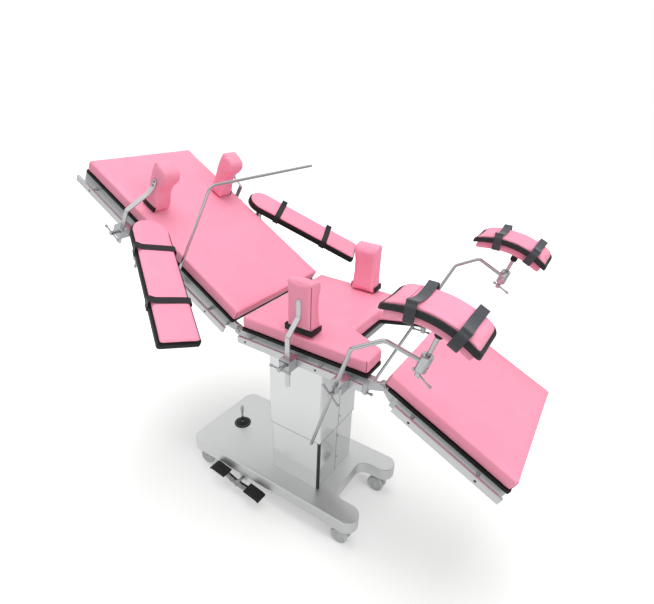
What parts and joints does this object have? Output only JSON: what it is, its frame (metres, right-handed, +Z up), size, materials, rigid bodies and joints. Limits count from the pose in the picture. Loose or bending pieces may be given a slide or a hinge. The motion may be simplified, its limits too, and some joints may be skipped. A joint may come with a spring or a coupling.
{
  "type": "gynaecological examination table",
  "caption": "Padded examination table on a wheeled lifting column: tilting back and leg sections, side rails with clamped armboards, shoulder, hip and leg supports and a screen rod.",
  "frame": {"origin": "on the ground below the middle of the whole outline", "axes": "+X along the table from the head end to the foot end, +Y across to the side away from the brake pedal, +Z up"},
  "size_m": [1.7777, 1.1546, 1.3932],
  "materials": {
    "upholstery": "satin",
    "stainless_sheet": "satin",
    "frame_steel": "satin",
    "rail_steel": "satin",
    "chrome": "polished",
    "black_board": "matte",
    "black_rubber": "matte",
    "webbing": "matte"
  },
  "bodies": {
    "base": {"base_cover": "stainless_sheet", "column_lower": "stainless_sheet", "joystick_boot": "black_rubber"},
    "wheel_head_near": {"wheel_head_near": "black_rubber"},
    "wheel_head_far": {"wheel_head_far": "black_rubber"},
    "wheel_foot_near": {"wheel_foot_near": "black_rubber"},
    "wheel_foot_far": {"wheel_foot_far": "black_rubber"},
    "brake_rocker": {"brake_rocker": "black_rubber"},
    "joystick": {"joystick": "chrome"},
    "seat": {"column_upper": "stainless_sheet", "lift_ram": "chrome", "seat_frame": "frame_steel", "seat_board": "black_board", "seat_cushion": "upholstery", "seat_rail_near": "rail_steel", "seat_rail_far": "rail_steel"},
    "back": {"back_frame": "frame_steel", "back_board": "black_board", "back_cushion": "upholstery", "back_rail_near": "rail_steel", "back_rail_far": "rail_steel"},
    "leg": {"leg_frame": "frame_steel", "leg_board": "black_board", "leg_cushion": "upholstery", "leg_rail_near": "rail_steel", "leg_rail_far": "rail_steel"},
    "leg_lock_near": {"leg_lock_near": "chrome"},
    "leg_lock_far": {"leg_lock_far": "chrome"},
    "armboard_bracket_near": {"armboard_bracket_near": "chrome"},
    "armboard_near": {"armboard_near": "black_board", "armboard_pad_near": "upholstery", "armboard_straps_near": "webbing"},
    "armboard_bracket_far": {"armboard_bracket_far": "chrome"},
    "armboard_far": {"armboard_far": "black_board", "armboard_pad_far": "upholstery", "armboard_straps_far": "webbing"},
    "shoulder_clamp_near": {"shoulder_clamp_near": "chrome"},
    "shoulder_rest_near": {"shoulder_bar_near": "rail_steel", "shoulder_pad_near": "upholstery"},
    "shoulder_clamp_far": {"shoulder_clamp_far": "chrome"},
    "shoulder_rest_far": {"shoulder_bar_far": "rail_steel", "shoulder_pad_far": "upholstery"},
    "hip_clamp_near": {"hip_clamp_near": "chrome"},
    "hip_support_near": {"hip_bar_near": "rail_steel", "hip_pad_near": "upholstery"},
    "hip_clamp_far": {"hip_clamp_far": "chrome"},
    "hip_support_far": {"hip_bar_far": "rail_steel", "hip_pad_far": "upholstery"},
    "leg_clamp_near": {"leg_clamp_near": "chrome"},
    "leg_rod_near": {"leg_rod_near": "chrome"},
    "leg_screw_near": {"leg_screw_near": "chrome"},
    "leg_support_near": {"leg_pad_near": "upholstery", "leg_band_near": "webbing"},
    "leg_clamp_far": {"leg_clamp_far": "chrome"},
    "leg_rod_far": {"leg_rod_far": "chrome"},
    "leg_screw_far": {"leg_screw_far": "chrome"},
    "leg_support_far": {"leg_pad_far": "upholstery", "leg_band_far": "webbing"},
    "screen_clamp": {"screen_clamp": "chrome"},
    "screen_rod": {"screen_rod": "chrome"}
  },
  "joints": [
    {"name": "wheel_head_near_roll", "type": "hinge", "parent": "base", "child": "wheel_head_near", "pos_m": [-0.4173, -0.15, 0.0375], "axis": [0, 1, 0], "continuous": true},
    {"name": "wheel_head_far_roll", "type": "hinge", "parent": "base", "child": "wheel_head_far", "pos_m": [-0.4173, 0.15, 0.0375], "axis": [0, 1, 0], "continuous": true},
    {"name": "wheel_foot_near_roll", "type": "hinge", "parent": "base", "child": "wheel_foot_near", "pos_m": [0.3227, -0.158, 0.0375], "axis": [0, 1, 0], "continuous": true},
    {"name": "wheel_foot_far_roll", "type": "hinge", "parent": "base", "child": "wheel_foot_far", "pos_m": [0.3227, 0.158, 0.0375], "axis": [0, 1, 0], "continuous": true},
    {"name": "brake_rocker_tilt", "type": "hinge", "parent": "base", "child": "brake_rocker", "pos_m": [-0.1643, -0.188, 0.075], "axis": [0, 1, 0], "range_deg": [-16, 0]},
    {"name": "joystick_tilt", "type": "hinge", "parent": "base", "child": "joystick", "pos_m": [-0.3418, 0, 0.168], "axis": [0, 1, 0], "range_deg": [-15, 15], "stiffness_Nm_per_rad": 0.3},
    {"name": "table_lift", "type": "slide", "parent": "base", "child": "seat", "axis": [0, 0, 1], "range_m": [-0.22, 0.03]},
    {"name": "back_tilt", "type": "hinge", "parent": "seat", "child": "back", "pos_m": [-0.1013, 0, 0.865], "axis": [0, 1, 0], "range_deg": [-40.3, 14.7]},
    {"name": "leg_tilt", "type": "hinge", "parent": "seat", "child": "leg", "pos_m": [0.4692, 0, 0.865], "axis": [0, 1, 0], "range_deg": [-25.4, 60]},
    {"name": "leg_lock_near_turn", "type": "hinge", "parent": "seat", "child": "leg_lock_near", "pos_m": [0.4097, -0.236, 0.8224], "axis": [0, 0, 1], "range_deg": [-90, 90]},
    {"name": "leg_lock_far_turn", "type": "hinge", "parent": "seat", "child": "leg_lock_far", "pos_m": [0.4097, 0.236, 0.8224], "axis": [0, 0, 1], "range_deg": [-90, 90]},
    {"name": "armboard_bracket_near_slide", "type": "slide", "parent": "back", "child": "armboard_bracket_near", "axis": [-0.8634, 0, 0.5045], "range_m": [0, 0.03]},
    {"name": "armboard_near_swing", "type": "hinge", "parent": "armboard_bracket_near", "child": "armboard_near", "pos_m": [-0.44729, -0.305, 1.15057], "axis": [-0.5045, 0, -0.8634], "range_deg": [0, 63]},
    {"name": "armboard_bracket_far_slide", "type": "slide", "parent": "back", "child": "armboard_bracket_far", "axis": [-0.8634, 0, 0.5045], "range_m": [0, 0.03]},
    {"name": "armboard_far_swing", "type": "hinge", "parent": "armboard_bracket_far", "child": "armboard_far", "pos_m": [-0.44729, 0.305, 1.15057], "axis": [0.5045, 0, 0.8634], "range_deg": [0, 63]},
    {"name": "shoulder_clamp_near_slide", "type": "slide", "parent": "back", "child": "shoulder_clamp_near", "axis": [-0.8634, 0, 0.5045], "range_m": [-0.02, 0.15]},
    {"name": "shoulder_rest_near_raise", "type": "slide", "parent": "shoulder_clamp_near", "child": "shoulder_rest_near", "axis": [0.5045, 0, 0.8634], "range_m": [0, 0.06]},
    {"name": "shoulder_clamp_far_slide", "type": "slide", "parent": "back", "child": "shoulder_clamp_far", "axis": [-0.8634, 0, 0.5045], "range_m": [-0.02, 0.15]},
    {"name": "shoulder_rest_far_raise", "type": "slide", "parent": "shoulder_clamp_far", "child": "shoulder_rest_far", "axis": [0.5045, 0, 0.8634], "range_m": [0, 0.06]},
    {"name": "hip_clamp_near_slide", "type": "slide", "parent": "seat", "child": "hip_clamp_near", "axis": [1, 0, 0], "range_m": [-0.05, 0.05]},
    {"name": "hip_support_near_raise", "type": "slide", "parent": "hip_clamp_near", "child": "hip_support_near", "axis": [0, 0, 1], "range_m": [-0.004, 0.06]},
    {"name": "hip_clamp_far_slide", "type": "slide", "parent": "seat", "child": "hip_clamp_far", "axis": [1, 0, 0], "range_m": [-0.05, 0.05]},
    {"name": "hip_support_far_raise", "type": "slide", "parent": "hip_clamp_far", "child": "hip_support_far", "axis": [0, 0, 1], "range_m": [-0.004, 0.06]},
    {"name": "leg_clamp_near_slide", "type": "slide", "parent": "seat", "child": "leg_clamp_near", "axis": [1, 0, 0], "range_m": [-0.05, 0.02]},
    {"name": "leg_rod_near_swing", "type": "hinge", "parent": "leg_clamp_near", "child": "leg_rod_near", "pos_m": [0.3537, -0.324, 0.862], "axis": [-0.3594, 0.2884, -0.8875], "range_deg": [-20, 60]},
    {"name": "leg_screw_near_turn", "type": "hinge", "parent": "leg_rod_near", "child": "leg_screw_near", "pos_m": [0.6157, -0.353, 1.063], "axis": [0.284, 0, 0.9588], "range_deg": [-90, 90]},
    {"name": "leg_support_near_swivel", "type": "hinge", "parent": "leg_rod_near", "child": "leg_support_near", "pos_m": [0.6157, -0.353, 1.063], "axis": [0.284, 0, 0.9588], "range_deg": [-30, 30]},
    {"name": "leg_clamp_far_slide", "type": "slide", "parent": "seat", "child": "leg_clamp_far", "axis": [1, 0, 0], "range_m": [-0.05, 0.02]},
    {"name": "leg_rod_far_swing", "type": "hinge", "parent": "leg_clamp_far", "child": "leg_rod_far", "pos_m": [0.3737, 0.324, 0.862], "axis": [0.3594, 0.2884, 0.8875], "range_deg": [-20, 60]},
    {"name": "leg_screw_far_turn", "type": "hinge", "parent": "leg_rod_far", "child": "leg_screw_far", "pos_m": [0.6357, 0.353, 1.063], "axis": [0.284, 0, 0.9588], "range_deg": [-90, 90]},
    {"name": "leg_support_far_swivel", "type": "hinge", "parent": "leg_rod_far", "child": "leg_support_far", "pos_m": [0.6357, 0.353, 1.063], "axis": [0.284, 0, 0.9588], "range_deg": [-30, 30]},
    {"name": "screen_clamp_slide", "type": "slide", "parent": "back", "child": "screen_clamp", "axis": [-0.8634, 0, 0.5045], "range_m": [-0.12, 0]},
    {"name": "screen_rod_raise", "type": "slide", "parent": "screen_clamp", "child": "screen_rod", "axis": [0.5045, 0, 0.8634], "range_m": [-0.15, 0.015]}
  ]
}
